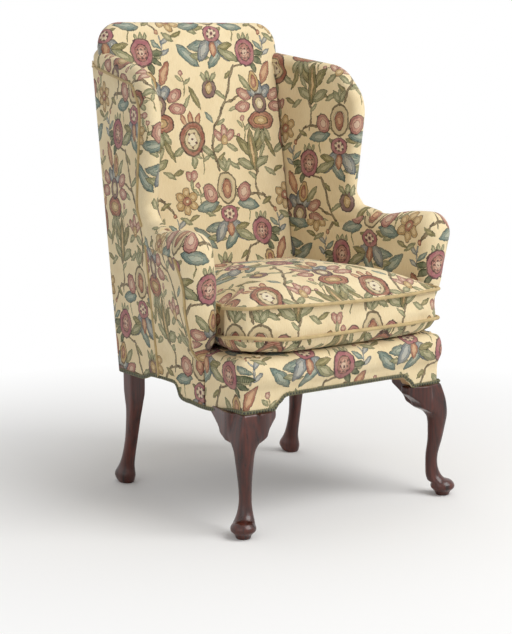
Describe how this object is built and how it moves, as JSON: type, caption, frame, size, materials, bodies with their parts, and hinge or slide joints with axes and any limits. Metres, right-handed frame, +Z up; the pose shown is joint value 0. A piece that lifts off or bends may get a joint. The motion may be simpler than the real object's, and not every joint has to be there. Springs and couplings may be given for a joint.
{
  "type": "armchair",
  "caption": "Wing armchair with carved cabriole front legs on pad feet, raked back legs, rolled upright arms, upholstered in floral crewelwork cloth, with a loose T-shaped seat cushion",
  "frame": {"origin": "under the middle of the chair's bounding box, on the floor", "axes": "-Y is the front of the chair, +Z is up, +X is to the right seen from behind the chair; the chair is mirrored in X = 0"},
  "size_m": [0.83, 0.7466, 1.1809],
  "materials": {
    "walnut": "gloss polish",
    "beech": "unfinished",
    "crewel_fabric": "woven, embroidered floral",
    "green_gimp": "braided",
    "jute_webbing": "coarse weave",
    "hessian": "coarse weave",
    "dust_cloth": "plain weave",
    "feather_filling": "soft filling in ticking"
  },
  "bodies": {
    "chair": {"arm_post_left": "beech", "arm_post_right": "beech", "arm_rail_left": "beech", "arm_rail_right": "beech", "back_leg_left": "walnut", "back_leg_right": "walnut", "back_post_left": "beech", "back_post_right": "beech", "back_rail": "beech", "back_webbing": "jute_webbing", "crest_rail": "beech", "deck_pad": "hessian", "dust_cover": "dust_cloth", "front_border": "crewel_fabric", "front_leg_left": "walnut", "front_leg_right": "walnut", "front_rail": "beech", "inside_arm_left": "crewel_fabric", "inside_arm_right": "crewel_fabric", "inside_back": "crewel_fabric", "inside_wing_left": "crewel_fabric", "inside_wing_right": "crewel_fabric", "knee_bracket_front_left": "walnut", "knee_bracket_front_right": "walnut", "knee_bracket_side_left": "walnut", "knee_bracket_side_right": "walnut", "outside_arm_cover_left": "crewel_fabric", "outside_arm_cover_right": "crewel_fabric", "outside_back_cover": "crewel_fabric", "outside_wing_cover_left": "crewel_fabric", "outside_wing_cover_right": "crewel_fabric", "seat_base_cloth": "hessian", "seat_block_back_left": "beech", "seat_block_back_right": "beech", "seat_block_front_left": "beech", "seat_block_front_right": "beech", "seat_webbing": "jute_webbing", "side_rail_left": "beech", "side_rail_right": "beech", "stay_rail": "beech", "trim_back": "green_gimp", "trim_front": "green_gimp", "trim_side_left": "green_gimp", "trim_side_right": "green_gimp", "wing_post_left": "beech", "wing_post_right": "beech", "wing_rail_left": "beech", "wing_rail_right": "beech"},
    "cushion": {"cushion_cover": "crewel_fabric", "cushion_filling": "feather_filling", "cushion_welt_bottom": "crewel_fabric", "cushion_welt_top": "crewel_fabric"}
  },
  "joints": [
    {"name": "cushion_lift", "type": "slide", "parent": "chair", "child": "cushion", "axis": [0, -0.7071, 0.7071], "range_m": [0, 0.75]}
  ]
}
